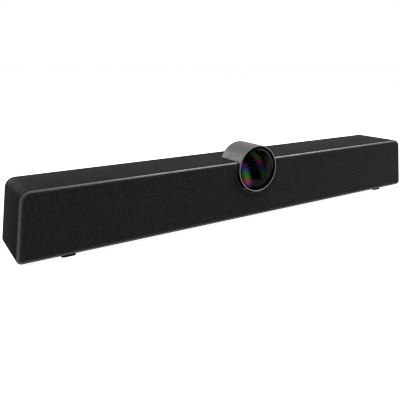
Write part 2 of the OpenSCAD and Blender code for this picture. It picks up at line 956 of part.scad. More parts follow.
// A half roll between the cone's edge and the flange
module surround(side) {
    middle = surround_out - surround_roll;
    color("#0e0e0f") in_body() at_speaker(side) rotate([-90, 0, 0]) rotate_extrude()
        translate([middle, cone_edge]) difference() {
            circle(r = surround_roll - clearance / 2);
            circle(r = surround_roll - clearance / 2 - surround_t);
            translate([-surround_roll, 0]) square([2 * surround_roll, surround_roll]);
        }
}

module surround_left() {
    surround(-1);
}

module surround_right() {
    surround(1);
}

// A waved disc that centres the coil
module spider(side) {
    start = coil_out + clearance;
    steps = 8;
    pitch = (spider_out - start) / steps;
    wave = [for (i = [0:steps]) [start + i * pitch, spider_at + (i % 2 == 0 ? 0 : spider_t)]];
    back = [for (i = [steps:-1:0]) wave[i] + [0, spider_t]];
    color("#b58b3a") in_body() at_speaker(side) turned(concat(wave, back));
}

module spider_left() {
    spider(-1);
}

module spider_right() {
    spider(1);
}

module speaker_box(side) {
    color(deep_black) in_body() translate([side * speaker_x, 0, 0]) difference() {
        block(box_l, box_front, box_back, box_low, box_high);
        block(box_l - 2 * box_wall, box_front + box_face_t, box_back - box_wall, box_low + box_wall,
              box_high - box_wall);
        translate([0, 0, speaker_z]) rod(driver_r + box_rim_gap, box_front - overrun, flange_seat);
        translate([0, 0, speaker_z])
            rod(surround_out + box_rim_gap, box_front, box_front + box_face_t + overrun);
        translate([0, flange_seat, speaker_z]) driver_screw_places()
            rod(driver_screw_hole_r, -overrun, box_face_t);
        translate([-side * box_l / 2, lead_hole.y - front_y, lead_hole.z - foot_h]) rotate([0, 90, 0])
            cylinder(r = lead_hole_r, h = 4 * box_wall, center = true);
    }
}

module speaker_box_left() {
    speaker_box(-1);
}

module speaker_box_right() {
    speaker_box(1);
}

// A round lead swept along its route
function unit(v) = v / norm(v);
function route_dir(p, i) = unit(p[min(i + 1, len(p) - 1)] - p[max(i - 1, 0)]);
function route_ring(p, i) = let (
    ahead = route_dir(p, i),
    across = unit(cross(ahead, [0, 0.3, 1])),
    up = cross(across, ahead)
) [for (k = [0:lead_sides - 1]) p[i] + lead_r * (cos(k * 360 / lead_sides) * across
                                                 + sin(k * 360 / lead_sides) * up)];

module swept_lead(p) {
    n = len(p);
    last = (n - 1) * lead_sides;
    points = [for (i = [0:n - 1]) each route_ring(p, i)];
    walls = [for (i = [0:n - 2]) for (k = [0:lead_sides - 1]) let (
        a = i * lead_sides + k, b = i * lead_sides + (k + 1) % lead_sides
    ) each [[a, b, b + lead_sides], [a, b + lead_sides, a + lead_sides]]];
    start = [for (k = [1:lead_sides - 2]) [0, k + 1, k]];
    end = [for (k = [1:lead_sides - 2]) [last, last + k, last + k + 1]];
    polyhedron(concat([for (q = points) q]), concat(walls, start, end));
}

module speaker_lead_left() {
    color("#7a1f1c") mirror([1, 0, 0]) swept_lead(lead_route);
}

module speaker_lead_right() {
    color("#7a1f1c") swept_lead(lead_route);
}

module foot_outline() {
    w = foot_w - 2 * foot_r;
    d = foot_d - 2 * foot_r;
    translate([-foot_w / 2, foot_r]) square([foot_w, d]);
    translate([-w / 2, 0]) square([w, foot_d]);
    for (x = [-w / 2, w / 2]) for (y = [foot_r, foot_r + d]) translate([x, y]) circle(r = foot_r);
}

module feet() {
    color("#101010") translate([0, front_y + foot_front, 0]) for (x = [-foot_x, foot_x])
        translate([x, 0, 0]) linear_extrude(foot_h) foot_outline();
}

// A screw along Y whose head faces the front
module screw(r, l, head_r, head_h) {
    rod(head_r, -head_h, 0);
    rod(r, -head_h / 2, l);
}

module cover_screws() {
    color(steel) in_body() column_places() translate([0, body_d - counterbore_d, 0]) mirror([0, 1, 0])
        screw(screw_r, screw_l, screw_head_r, screw_head_h);
}

module baffle_screws() {
    color(steel) in_body() column_places() translate([0, baffle_at, 0])
        screw(screw_r, screw_l, screw_head_r, screw_head_h);
}

module inner_screws() {
    color(steel) in_body() {
        for (x = [-board_post_x, board_post_x])
            for (y = [board_front + board_hole_in, board_back - board_hole_in]) translate([x, y, board_top]) {
                cylinder(r = board_screw_head_r, h = board_screw_head_h);
                translate([0, 0, -board_stand]) cylinder(r = board_screw_r, h = board_stand + overrun / 2);
            }
        for (x = [-cradle_foot_x, cradle_foot_x]) translate([x, stand_y, 0]) {
            translate([0, 0, -board_screw_head_h]) cylinder(r = board_screw_head_r, h = board_screw_head_h);
            translate([0, 0, -overrun / 2])
                cylinder(r = board_screw_r, h = inner_bottom + pilot_l - clearance);
        }
    }
}

module speaker_screws() {
    color(steel) in_body() for (side = [-1, 1]) at_speaker(side) driver_screw_places()
        screw(driver_screw_r, driver_screw_l, driver_screw_head_r, driver_screw_head_h);
}

module bracket_inserts() {
    color(brass) in_body() for (x = [-bracket_x, bracket_x]) translate([x, 0, bracket_z]) difference() {
        rod(bracket_insert_r, body_d - bracket_insert_l - insert_recess, body_d - insert_recess);
        rod(bracket_core_r, body_d - bracket_insert_l, body_d);
    }
}

module stand_insert() {
    color(brass) in_body() translate([0, stand_y, insert_recess]) difference() {
        cylinder(r = stand_insert_r, h = stand_insert_l);
        translate([0, 0, -overrun]) cylinder(r = stand_core_r, h = stand_insert_l);
    }
}

housing();
rear_cover();
front_baffle();
grille();
grille_cloth();
camera_barrel();
barrel_cap();
lens_ring();
lens_window();
lens_hood();
lens_tube();
front_lens();
lens_holder();
sensor_board();
image_sensor();
camera_cradle();
camera_ribbon();
main_board();
processor();
heat_sink();
wireless_shield();
power_socket();
usb_socket();
video_socket();
audio_socket();
power_button();
pairing_button();
button_switches();
microphone_board_left();
microphone_board_right();
microphones();
microphone_ribbon_left();
microphone_ribbon_right();
speaker_basket_left();
speaker_basket_right();
speaker_magnet_left();
speaker_magnet_right();
voice_coil_left();
voice_coil_right();
speaker_cone_left();
speaker_cone_right();
dust_cap_left();
dust_cap_right();
surround_left();
surround_right();
spider_left();
spider_right();
speaker_box_left();
speaker_box_right();
speaker_lead_left();
speaker_lead_right();
feet();
cover_screws();
baffle_screws();
inner_screws();
speaker_screws();
bracket_inserts();
stand_insert();
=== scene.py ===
import json
import math

import bmesh
import bpy
from mathutils import Matrix, Vector


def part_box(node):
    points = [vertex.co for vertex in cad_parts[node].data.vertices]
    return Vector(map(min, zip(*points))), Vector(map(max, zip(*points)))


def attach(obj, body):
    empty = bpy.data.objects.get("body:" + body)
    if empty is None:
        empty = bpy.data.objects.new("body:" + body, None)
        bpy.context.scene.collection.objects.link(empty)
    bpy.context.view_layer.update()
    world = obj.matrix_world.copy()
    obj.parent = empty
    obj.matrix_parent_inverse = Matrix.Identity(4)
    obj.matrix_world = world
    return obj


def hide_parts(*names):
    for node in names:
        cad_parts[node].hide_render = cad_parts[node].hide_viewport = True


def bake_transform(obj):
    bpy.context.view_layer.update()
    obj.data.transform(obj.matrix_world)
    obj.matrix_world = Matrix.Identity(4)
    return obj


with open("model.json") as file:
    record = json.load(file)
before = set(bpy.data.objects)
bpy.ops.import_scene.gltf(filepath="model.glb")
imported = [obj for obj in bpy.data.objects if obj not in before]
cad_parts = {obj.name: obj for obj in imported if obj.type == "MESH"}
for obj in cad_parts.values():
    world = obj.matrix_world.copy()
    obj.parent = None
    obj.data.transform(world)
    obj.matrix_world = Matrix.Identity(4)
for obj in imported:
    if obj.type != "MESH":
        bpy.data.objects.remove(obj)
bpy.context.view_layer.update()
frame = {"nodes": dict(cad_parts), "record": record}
print("frame loaded:", len(frame["nodes"]), "nodes")

mm = 0.001

# What the whole bar is measured by, in millimetres, with y from the front face and z from the underside
bar = {
    "length": 600.0,
    "height": 73.0,
    "endLean": 6.0,
    "topRadius": 11.0,
    "bottomRadius": 6.0,
    "wall": 2.5,
    "cornerSteps": 20,
}
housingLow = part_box("housing")[0]
frontY = housingLow.y / mm
underZ = housingLow.z / mm
barrelLow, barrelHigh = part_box("camera_barrel")
barrelZ = (barrelLow.z + barrelHigh.z) / 2 / mm
lean = math.atan2(bar["endLean"], bar["height"])


def at(x, y, z):  # millimetres in the bar's own measure to metres in the frame
    return Vector((x, y + frontY, z + underZ)) * mm


def endX(z, inset):  # the leaning end at a height, drawn in by the inset
    return bar["length"] / 2 - z * math.tan(lean) - inset / math.cos(lean)


def pieceFrom(bm, name, body, smoothAngle=35):
    mesh = bpy.data.meshes.new(name)
    bm.to_mesh(mesh)
    bm.free()
    mesh.polygons.foreach_set("use_smooth", [True] * len(mesh.polygons))
    mesh.set_sharp_from_angle(angle=math.radians(smoothAngle))
    piece = bpy.data.objects.new(name, mesh)
    bpy.context.scene.collection.objects.link(piece)
    if body:
        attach(piece, body)
    return piece


def cleaned(bm, distance=1e-6):
    bmesh.ops.remove_doubles(bm, verts=bm.verts, dist=distance)
    bmesh.ops.recalc_face_normals(bm, faces=bm.faces)


# A shape turned about an axis along Y or Z, from (radius, distance) points that start and end on the axis
# or, where closed, form a loop
def turn(bm, points, centre, axis="Y", steps=96, closed=False):
    verts = []
    for radius, along in points:
        offset = Vector((radius, along, 0)) if axis == "Y" else Vector((radius, 0, along))
        verts.append(bm.verts.new(centre + offset * mm))
    pairs = list(zip(verts, verts[1:])) + ([(verts[-1], verts[0])] if closed else [])
    edges = [bm.edges.new(pair) for pair in pairs]
    direction = (0, 1, 0) if axis == "Y" else (0, 0, 1)
    bmesh.ops.spin(bm, geom=verts + edges, cent=centre, axis=direction, dvec=(0, 0, 0),
                   angle=2 * math.pi, steps=steps, use_merge=True, use_duplicate=False)


def cutWith(piece, cutter):
    cut = piece.modifiers.new("cut", "BOOLEAN")
    cut.operation = "DIFFERENCE"
    cut.solver = "EXACT"
    cut.object = cutter
    bpy.context.view_layer.update()
    graph = bpy.context.evaluated_depsgraph_get()
    done = bpy.data.meshes.new_from_object(piece.evaluated_get(graph))
    piece.modifiers.clear()
    old = piece.data
    done.name = old.name + "Cut"
    piece.data = done
    bpy.data.meshes.remove(old)
    bpy.data.objects.remove(cutter)


# Housing: one tube of the body's outline, its front edge slanted, with the trough for the barrel in its top
housing = {
    "depth": 69.0,
    "rimCut": 1.4,
    "edgeRound": 0.3,
    "roundSteps": 2,
    "troughRadius": 30.8,
    "troughDepth": 39.3,
    "frontTroughRadius": 32.5,
    "frontTroughDepth": 5.0,
    "columnRadius": 3.5,
    "columnBore": 1.25,
    "columnFrom": 7.55,
    "columnTo": 64.7,
    "columnX": (115.0, 275.0),
    "columnZ": (7.5, 65.5),
    "postX": 89.0,
    "postY": (36.5, 55.5),
    "postRadius": 3.0,
    "postBore": 1.1,
    "postHeight": 6.5,
    "standY": 16.3,
    "standHole": 4.55,
    "standBoss": 7.0,
    "standBossHeight": 11.0,
    "footScrewX": 27.0,
    "footScrewHole": 1.3,
    "cutBefore": -6.0,
    "holeFrom": -2.0,
    "holeTo": 4.0,
    "sharpAngle": 24,
}


def outlineFace(bm, y, inset):
    low, high = inset, bar["height"] - inset
    corners = [(-endX(low, inset), low), (endX(low, inset), low),
               (endX(high, inset), high), (-endX(high, inset), high)]
    verts = [bm.verts.new(at(x, y, z)) for x, z in corners]
    bm.faces.new(verts)
    for pair, radius, inside in ((verts[:2], bar["bottomRadius"], math.pi / 2 - lean),
                                 (verts[2:], bar["topRadius"], math.pi / 2 + lean)):
        reach = (radius - inset) / math.tan(inside / 2) * mm
        bmesh.ops.bevel(bm, geom=pair, offset=reach, offset_type="OFFSET", segments=bar["cornerSteps"],
                        profile=0.5, affect="VERTICES", clamp_overlap=False, material=-1)
    face = bm.faces[:][0]
    face.normal_update()
    if face.normal.y > 0:
        face.normal_flip()
    return face


def pulledBack(bm, edges, y):  # walls from a loop of edges back to the plane y
    made = bmesh.ops.extrude_edge_only(bm, edges=edges)["geom"]
    target = (y + frontY) * mm
    for v in made:
        if isinstance(v, bmesh.types.BMVert):
            v.co.y = target
    return [e for e in made if isinstance(e, bmesh.types.BMEdge)]


def housingShell():
    h = housing
    bm = bmesh.new()
    front = outlineFace(bm, h["rimCut"], 0)
    pulledBack(bm, front.edges[:], h["depth"])
    rimCut = h["rimCut"] * mm
    chamfer = bmesh.ops.inset_region(bm, faces=[front], thickness=rimCut, depth=rimCut,
                                     use_even_offset=True)["faces"]
    land = bmesh.ops.inset_region(bm, faces=[front], thickness=bar["wall"] * mm - rimCut,
                                  use_even_offset=True)["faces"]
    for index, faces in ((1, chamfer), (2, land)):
        for face in faces:
            face.material_index = index
    pulledBack(bm, front.edges[:], h["depth"])
    bmesh.ops.delete(bm, geom=[front], context="FACES_ONLY")
    back = (h["depth"] + frontY) * mm
    loops = [e for e in bm.edges if e.is_boundary and all(abs(v.co.y - back) < 1e-7 for v in e.verts)]
    bmesh.ops.bridge_loops(bm, edges=loops)
    planes = [(frontY + h["rimCut"]) * mm, frontY * mm]
    rim = [e for e in bm.edges if len(e.link_faces) == 2
           and any(all(abs(v.co.y - plane) < 1e-7 for v in e.verts) for plane in planes)
           and e.calc_face_angle(0) > math.radians(30)]
    bmesh.ops.bevel(bm, geom=rim, offset=h["edgeRound"] * mm, offset_type="OFFSET",
                    segments=h["roundSteps"], profile=0.5, affect="EDGES", clamp_overlap=False, material=-1)
    cleaned(bm)
    made = pieceFrom(bm, "housing_shell", None)
    # the cut keeps the rim's faces apart only where the mesh has slots for them
    for name in ("outside", "chamfer", "land"):
        made.data.materials.append(bpy.data.materials.new(name))
    return made


def housingCutter():
    h = housing
    bm = bmesh.new()
    trough = [(0, h["cutBefore"]), (h["frontTroughRadius"], h["cutBefore"]),
              (h["frontTroughRadius"], h["frontTroughDepth"]), (h["troughRadius"], h["frontTroughDepth"]),
              (h["troughRadius"], h["troughDepth"]), (0, h["troughDepth"])]
    turn(bm, trough, Vector((0, frontY, barrelZ)) * mm, steps=160)
    for x, radius in ((0, h["standHole"]), (-h["footScrewX"], h["footScrewHole"]),
                      (h["footScrewX"], h["footScrewHole"])):
        hole = [(0, h["holeFrom"]), (radius, h["holeFrom"]), (radius, h["holeTo"]), (0, h["holeTo"])]
        turn(bm, hole, at(x, h["standY"], 0), axis="Z", steps=48)
    cleaned(bm)
    return pieceFrom(bm, "housing_cutter", None)


def tube(bm, bore, radius, start, end, centre, axis="Y", steps=32):
    turn(bm, [(bore, start), (radius, start), (radius, end), (bore, end)], centre, axis, steps, closed=True)


def housingInside():  # columns, board posts and the boss for the stand's insert
    h = housing
    bm = bmesh.new()
    for side in (-1, 1):
        for x in h["columnX"]:
            for z in h["columnZ"]:
                tube(bm, h["columnBore"], h["columnRadius"], h["columnFrom"], h["columnTo"], at(side * x, 0, z))
        for y in h["postY"]:
            tube(bm, h["postBore"], h["postRadius"], bar["wall"], h["postHeight"],
                 at(side * h["postX"], y, 0), axis="Z")
    tube(bm, h["standHole"], h["standBoss"], bar["wall"], h["standBossHeight"],
         at(0, h["standY"], 0), axis="Z", steps=48)
    cleaned(bm)
    return pieceFrom(bm, "housing_columns", "bar")


shell = housingShell()
cutWith(shell, housingCutter())
shell.data.polygons.foreach_set("use_smooth", [True] * len(shell.data.polygons))
shell.data.set_sharp_from_angle(angle=math.radians(housing["sharpAngle"]))
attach(shell, "bar")
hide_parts("housing")
columns = housingInside()
print("housing made:", len(shell.data.polygons), "faces")

# Ring round the window: a narrow bright land, a black bore, and a side in the barrel's finish, with its painted
# shade below the body's top edge
ring = {
    "radius": 30.0,
    "bore": 28.2,
    "front": -3.5,
    "back": -1.55,
    "landFrom": 28.7,
    "landTo": 29.8,
    "landRound": 0.12,
    "landDrop": 0.08,
    "boreDrop": 0.7,
    "sideDrop": 0.25,
}


def windowRing():
    r = ring
    bm = bmesh.new()
    front = r["front"]
    section = [(r["bore"], front + r["boreDrop"]), (r["landFrom"], front + r["landDrop"]),
               (r["landFrom"] + r["landRound"], front), (r["landTo"], front),
               (r["landTo"] + r["landRound"], front + r["landDrop"]), (r["radius"], front + r["sideDrop"]),
               (r["radius"], r["back"]), (r["bore"], r["back"])]
    turn(bm, section, Vector((0, frontY, barrelZ)) * mm, steps=160, closed=True)
    cleaned(bm)
    piece = pieceFrom(bm, "window_ring", "bar", smoothAngle=20)
    centre = Vector((0, 0, barrelZ)) * mm
    for face in piece.data.polygons:
        out = face.center - centre
        around = math.hypot(out.x, out.z) / mm
        if around < r["landFrom"]:
            face.material_index = 1
        elif face.normal.y > -0.5 or around > r["landTo"] + r["landDrop"]:
            face.material_index = 2
    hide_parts("lens_ring")
    return piece


ringPiece = windowRing()
print("window ring made")

# Grille: a sheet of staggered round holes with a plain border, in strips that share their walls
grille = {
    "front": 0.6,
    "thickness": 1.0,
    "inset": 2.9,
    "pitchX": 2.18,
    "pitchZ": 2.07,
    "holeRadius": 0.7,
    "border": 0.3,
    "notchRadius": 31.8,
    "notchSteps": 72,
    "notchNear": 4.0,
    "notchWedge": 0.16,
    "cornerCuts": 9,
    "wholeShare": 0.98,
    "holeInset": 0.1,
    "strips": 8,
}


def cutPlanes(inset):  # straight cuts that leave the outline, with its round corners as short chords
    low, high = inset, bar["height"] - inset
    planes = [((0, low), (0, -1)), ((0, high), (0, 1))]
    for side in (-1, 1):
        planes.append(((side * endX(low, inset), low), (side * math.cos(lean), math.sin(lean))))
        corners = ((bar["bottomRadius"], bar["bottomRadius"], -math.pi / 2, lean),
                   (bar["topRadius"], bar["height"] - bar["topRadius"], lean, math.pi / 2))
        for full, z, start, end in corners:
            radius = full - inset
            if start < 0:
                x = bar["length"] / 2 - full * (1 + math.sin(lean)) / math.cos(lean)
            else:
                x = bar["length"] / 2 - (full + z * math.sin(lean)) / math.cos(lean)
            for i in range(1, grille["cornerCuts"] + 1):
                a = start + (end - start) * i / (grille["cornerCuts"] + 1)
                planes.append(((side * (x + radius * math.cos(a)), z + radius * math.sin(a)),
                               (side * math.cos(a), math.sin(a))))
    return planes


def trimToOutline(bm, inset, y):
    for (x, z), (nx, nz) in cutPlanes(inset):
        bmesh.ops.bisect_plane(bm, geom=bm.verts[:] + bm.edges[:] + bm.faces[:], dist=1e-8,
                               plane_co=at(x, y, z), plane_no=(nx, 0, nz), clear_outer=True)


def trimNotch(bm, y):  # the round cut round the barrel, chord by chord
    g = grille
    centre = Vector((0, y + frontY, barrelZ)) * mm
    radius = g["notchRadius"] * mm
    reach = radius + g["notchNear"] * mm
    step = 2 * math.pi / g["notchSteps"]
    wedge = math.cos(g["notchWedge"])  # faces this near to a chord's direction are cut by it
    for i in range(g["notchSteps"]):
        a = (i + 0.5) * step
        out = Vector((math.cos(a), 0, math.sin(a)))
        geom = set()
        for f in bm.faces:
            c = f.calc_center_median() - centre
            if c.length < reach and c.normalized().dot(out) > wedge:
                geom.update([f], f.edges, f.verts)
        if geom:
            bmesh.ops.bisect_plane(bm, geom=list(geom), dist=1e-8, plane_co=centre + out * radius, plane_no=out)
    inside = []
    for f in bm.faces:
        c = f.calc_center_median() - centre
        a = math.atan2(c.z, c.x) % (2 * math.pi)
        middle = (math.floor(a / step) + 0.5) * step
        if c.length * math.cos(a - middle) < radius:
            inside.append(f)
    bmesh.ops.delete(bm, geom=inside, context="FACES")


def grilleSheet():
    g = grille
    bm = bmesh.new()
    columnsX = math.ceil(bar["length"] / g["pitchX"]) + 1
    rowsZ = math.ceil(bar["height"] / g["pitchZ"]) + 1
    turnUp = Matrix.Rotation(math.pi / 2, 4, "X")
    place = Matrix.Translation(at(0, g["front"], bar["height"] / 2))
    size = Matrix.Diagonal((columnsX * g["pitchX"] / 2 * mm, rowsZ * g["pitchZ"] / 2 * mm, 1, 1))
    bmesh.ops.create_grid(bm, x_segments=columnsX, y_segments=rowsZ, size=1, matrix=place @ turnUp @ size)
    lattice = bm.edges[:]
    bmesh.ops.poke(bm, faces=bm.faces[:])
    bmesh.ops.dissolve_edges(bm, edges=[e for e in lattice if len(e.link_faces) == 2], use_verts=False)
    whole = g["pitchX"] * g["pitchZ"] / 2 * mm * mm
    trimToOutline(bm, g["inset"], g["front"])
    trimNotch(bm, g["front"])
    return bm, whole


def keepsBorder(centre):  # a hole is punched only where it clears the edge of the sheet by the border
    g = grille
    x, z = abs(centre.x / mm), centre.z / mm - underZ
    room = g["holeRadius"] + g["border"]
    for (px, pz), (nx, nz) in borderPlanes:
        if nx >= 0 and (x - px) * nx + (z - pz) * nz > -room:
            return False
    return math.hypot(centre.x / mm, centre.z / mm - barrelZ) > g["notchRadius"] + room


borderPlanes = cutPlanes(grille["inset"])


def punchHoles(bm, whole):
    g = grille
    bmesh.ops.subdivide_edges(bm, edges=bm.edges[:], cuts=1)
    cells = [f for f in bm.faces if f.calc_area() > g["wholeShare"] * whole and len(f.verts) == 8
             and keepsBorder(f.calc_center_median())]
    bmesh.ops.inset_individual(bm, faces=cells, thickness=g["holeInset"] * mm, depth=0)
    for f in cells:
        centre = f.calc_center_median()
        for v in f.verts:
            v.co = centre + (v.co - centre).normalized() * g["holeRadius"] * mm
    return cells


def stripAt(face):
    return int((face.calc_center_median().x / mm + bar["length"] / 2) // (bar["length"] / grille["strips"]))


def markStrips(bm, whole):  # the walls round a hole go with it, so that no strip's edge runs through one
    groupOf = bm.faces.layers.int.new("strip")
    holes = punchHoles(bm, whole)
    for f in bm.faces:
        f[groupOf] = -1
    for f in holes:
        strip = stripAt(f)
        f[groupOf] = strip
        for e in f.edges:
            for other in e.link_faces:
                other[groupOf] = strip
    for f in bm.faces:
        if f[groupOf] < 0:
            f[groupOf] = stripAt(f)
    bmesh.ops.delete(bm, geom=holes, context="FACES_ONLY")


def grilleStrips():
    g = grille
    bm, whole = grilleSheet()
    markStrips(bm, whole)
    source = bpy.data.meshes.new("grille_source")
    bm.to_mesh(source)
    bm.free()
    made = []
    for strip in range(g["strips"]):
        part = bmesh.new()
        part.from_mesh(source)
        layer = part.faces.layers.int["strip"]
        bmesh.ops.delete(part, geom=[f for f in part.faces if f[layer] != strip], context="FACES")
        loose = [v for v in part.verts if not v.link_faces]
        bmesh.ops.delete(part, geom=loose, context="VERTS")
        bmesh.ops.recalc_face_normals(part, faces=part.faces)
        if part.faces[:][0].normal.y > 0:
            bmesh.ops.reverse_faces(part, faces=part.faces)
        bmesh.ops.solidify(part, geom=part.faces[:], thickness=g["thickness"] * mm)
        bmesh.ops.recalc_face_normals(part, faces=part.faces)
        piece = pieceFrom(part, f"grille_strip_{strip + 1}", "bar", smoothAngle=50)
        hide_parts("grille")
        made.append(piece)
    bpy.data.meshes.remove(source)
    return made


grilleParts = grilleStrips()
print("grille made:", sum(len(p.data.polygons) for p in grilleParts), "faces")

# Spider: the waved cloth disc round a voice coil. Its outer edge stays on the basket, its inner edge moves
spider = {
    "outer": 15.0,
    "inner": 10.85,
    "waves": 8,
    "wave": 0.15,
    "seat": 0.6,
    "rise": 1.3,
    "thickness": 0.4,
}


def spiderPiece(side):
    s = spider
    low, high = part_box(f"spider_{side}")
    centre = Vector(((low.x + high.x) / 2, low.y, (low.z + high.z) / 2))
    front = []
    for i in range(s["waves"] + 1):
        share = i / s["waves"]
        lift = 0 if i in (0, s["waves"]) else s["wave"] * (-1) ** i
        radius = s["outer"] + (s["inner"] - s["outer"]) * share
        front.append((radius, s["seat"] + s["rise"] * share + lift))
    back = [(radius, along + s["thickness"]) for radius, along in reversed(front)]
    bm = bmesh.new()
    turn(bm, front + back, centre, steps=64, closed=True)
    cleaned(bm)
    piece = pieceFrom(bm, f"spider_{side}_cloth", None)
    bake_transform(piece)
    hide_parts(f"spider_{side}")
    return piece


spiders = [spiderPiece(side) for side in ("left", "right")]
print("spiders made")

# Materials: each finish is one Principled shader, with colour, roughness and relief from patterns on
# Object coordinates
def newFinish(name):
    mat = bpy.data.materials.new(name)
    mat.use_nodes = True
    tree = mat.node_tree
    shader = tree.nodes["Principled BSDF"]
    return mat, tree, shader


def objectPoint(tree, stretch=(1, 1, 1), shift=(0, 0, 0)):
    coords = tree.nodes.new("ShaderNodeTexCoord")
    mapping = tree.nodes.new("ShaderNodeMapping")
    mapping.inputs["Scale"].default_value = stretch
    mapping.inputs["Location"].default_value = shift
    tree.links.new(coords.outputs["Object"], mapping.inputs["Vector"])
    return mapping.outputs["Vector"]


def noise(tree, vector, size, detail=3.0, roughness=0.5):
    n = tree.nodes.new("ShaderNodeTexNoise")
    n.inputs["Scale"].default_value = 1 / (size * mm)
    n.inputs["Detail"].default_value = detail
    n.inputs["Roughness"].default_value = roughness
    tree.links.new(vector, n.inputs["Vector"])
    return n.outputs["Fac"]


def ramp(tree, value, low, high, toLow, toHigh):
    r = tree.nodes.new("ShaderNodeMapRange")
    r.inputs["From Min"].default_value = low
    r.inputs["From Max"].default_value = high
    r.inputs["To Min"].default_value = toLow
    r.inputs["To Max"].default_value = toHigh
    tree.links.new(value, r.inputs["Value"])
    return r.outputs["Result"]


def maths(tree, operation, first, second=0.0, third=0.0):
    m = tree.nodes.new("ShaderNodeMath")
    m.operation = operation
    for socket, value in zip(m.inputs, (first, second, third)):
        if isinstance(value, (int, float)):
            socket.default_value = value
        else:
            tree.links.new(value, socket)
    return m.outputs[0]


def softStep(tree, value, start, end, low=0.0, high=1.0):
    out = ramp(tree, value, start, end, low, high)
    out.node.interpolation_type = "SMOOTHSTEP"
    return out


def mixColour(tree, share, first, second):
    m = tree.nodes.new("ShaderNodeMix")
    m.data_type = "RGBA"
    for socket, value in ((m.inputs[6], first), (m.inputs[7], second)):
        if isinstance(value, (tuple, list)):
            socket.default_value = (*value[:3], 1)
        else:
            tree.links.new(value, socket)
    tree.links.new(share, m.inputs[0])
    return m.outputs[2]


def relief(tree, shader, height, distance):
    b = tree.nodes.new("ShaderNodeBump")
    b.inputs["Strength"].default_value = 1.0
    b.inputs["Distance"].default_value = distance * mm
    tree.links.new(height, b.inputs["Height"])
    tree.links.new(b.outputs["Normal"], shader.inputs["Normal"])


# Which part of a noise pattern's values a colour or roughness runs over
spread = {"fleck": (0.35, 0.65), "cloud": (0.3, 0.7), "cloudShare": 0.5, "rough": 0.06}


def finish(name, colour, fleck, rough, grain, bump, cloud=14.0, metallic=0.0, specular=0.5,
           roughSpread=spread["rough"], stretch=(1, 1, 1), coat=0.0):
    mat, tree, shader = newFinish(name)
    point = objectPoint(tree, stretch)
    fine = noise(tree, point, grain, 3)
    broad = noise(tree, point, cloud, 2)
    shade = mixColour(tree, ramp(tree, fine, *spread["fleck"], 0, 1), colour, fleck)
    shade = mixColour(tree, ramp(tree, broad, *spread["cloud"], 0, spread["cloudShare"]), shade, colour)
    tree.links.new(shade, shader.inputs["Base Color"])
    roughness = ramp(tree, broad, *spread["cloud"], rough - roughSpread, rough + roughSpread)
    tree.links.new(roughness, shader.inputs["Roughness"])
    shader.inputs["Metallic"].default_value = metallic
    shader.inputs["Specular IOR Level"].default_value = specular
    shader.inputs["Coat Weight"].default_value = coat
    relief(tree, shader, fine, bump)
    return mat


def waves(tree, point, size, axis, distortion, detail):
    w = tree.nodes.new("ShaderNodeTexWave")
    w.bands_direction = axis
    w.inputs["Scale"].default_value = math.pi / (20 * size * mm)
    w.inputs["Distortion"].default_value = distortion
    w.inputs["Detail"].default_value = detail
    tree.links.new(point, w.inputs["Vector"])
    return w.outputs["Fac"]


def bandFinish(name, colour, dark, rough, band, axis, bump, metallic=0.0):
    mat, tree, shader = newFinish(name)
    point = objectPoint(tree)
    bands = waves(tree, point, band, axis, distortion=0.4, detail=1)
    fine = noise(tree, point, 0.6, 2)
    shade = mixColour(tree, bands, dark, colour)
    tree.links.new(shade, shader.inputs["Base Color"])
    roughness = ramp(tree, fine, *spread["cloud"], rough - spread["rough"], rough + spread["rough"])
    tree.links.new(roughness, shader.inputs["Roughness"])
    shader.inputs["Metallic"].default_value = metallic
    relief(tree, shader, bands, bump)
    return mat


clothLook = {"rough": (0.85, 0.95), "specular": 0.1}


def clothFinish(name, colour, dark, thread, bump):  # a plain weave in X and Z
    mat, tree, shader = newFinish(name)
    point = objectPoint(tree)
    threads = [waves(tree, point, thread, axis, distortion=0.6, detail=2) for axis in ("X", "Z")]
    weave = maths(tree, "MULTIPLY", *threads)
    tree.links.new(mixColour(tree, weave, dark, colour), shader.inputs["Base Color"])
    tree.links.new(ramp(tree, threads[0], 0, 1, *clothLook["rough"]), shader.inputs["Roughness"])
    shader.inputs["Specular IOR Level"].default_value = clothLook["specular"]
    relief(tree, shader, weave, bump)
    return mat


boardLook = {
    "mask": (0.008, 0.055, 0.025),
    "maskFleck": (0.012, 0.075, 0.035),
    "track": (0.03, 0.13, 0.06),
    "cell": 6.0,
    "grain": 3.0,
    "fleck": (0.4, 0.6),
    "rough": (0.25, 0.4),
    "bump": 0.03,
    "brick": {"Mortar Size": 0.03, "Mortar Smooth": 0.2, "Brick Width": 0.8, "Row Height": 0.18},
}


def boardFinish(name):  # green mask over copper tracks
    g = boardLook
    mat, tree, shader = newFinish(name)
    point = objectPoint(tree)
    b = tree.nodes.new("ShaderNodeTexBrick")
    b.inputs["Scale"].default_value = 1 / (g["cell"] * mm)
    for socket, value in g["brick"].items():
        b.inputs[socket].default_value = value
    tree.links.new(point, b.inputs["Vector"])
    fine = noise(tree, point, g["grain"], 3)
    mask = mixColour(tree, ramp(tree, fine, *g["fleck"], 0, 1), g["mask"], g["maskFleck"])
    shade = mixColour(tree, b.outputs["Fac"], mask, g["track"])
    tree.links.new(shade, shader.inputs["Base Color"])
    tree.links.new(ramp(tree, fine, *spread["cloud"], *g["rough"]), shader.inputs["Roughness"])
    relief(tree, shader, b.outputs["Fac"], g["bump"])
    return mat
